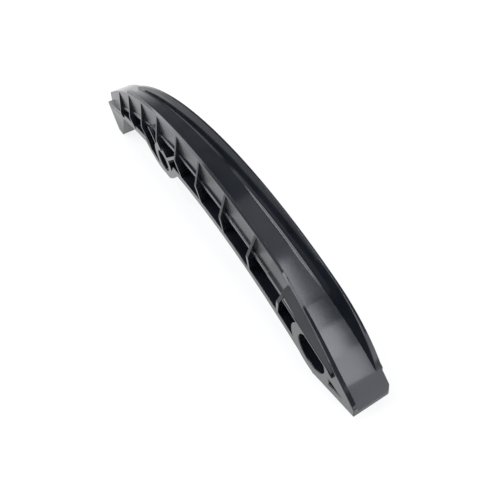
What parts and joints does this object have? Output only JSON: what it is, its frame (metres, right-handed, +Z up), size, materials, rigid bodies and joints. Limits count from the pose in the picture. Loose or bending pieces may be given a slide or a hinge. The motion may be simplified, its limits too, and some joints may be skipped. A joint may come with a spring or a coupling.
{
  "type": "timing chain guide",
  "caption": "Arched moulded chain guide rail with a flared running face, one tall side rail, ribbed sides, a pivot bore at the tip and a bolt ring under the arch.",
  "frame": {"origin": "middle of the pivot bore, on the mid plane of the bosses", "axes": "+X from the heel to the tip along the guide, +Y along the pivot bore to the side with the tall rail, +Z up to the running face"},
  "size_m": [0.243, 0.0174, 0.0582],
  "materials": {
    "nylon": "satin"
  },
  "bodies": {
    "root": {"chain_guide": "nylon"}
  },
  "joints": []
}
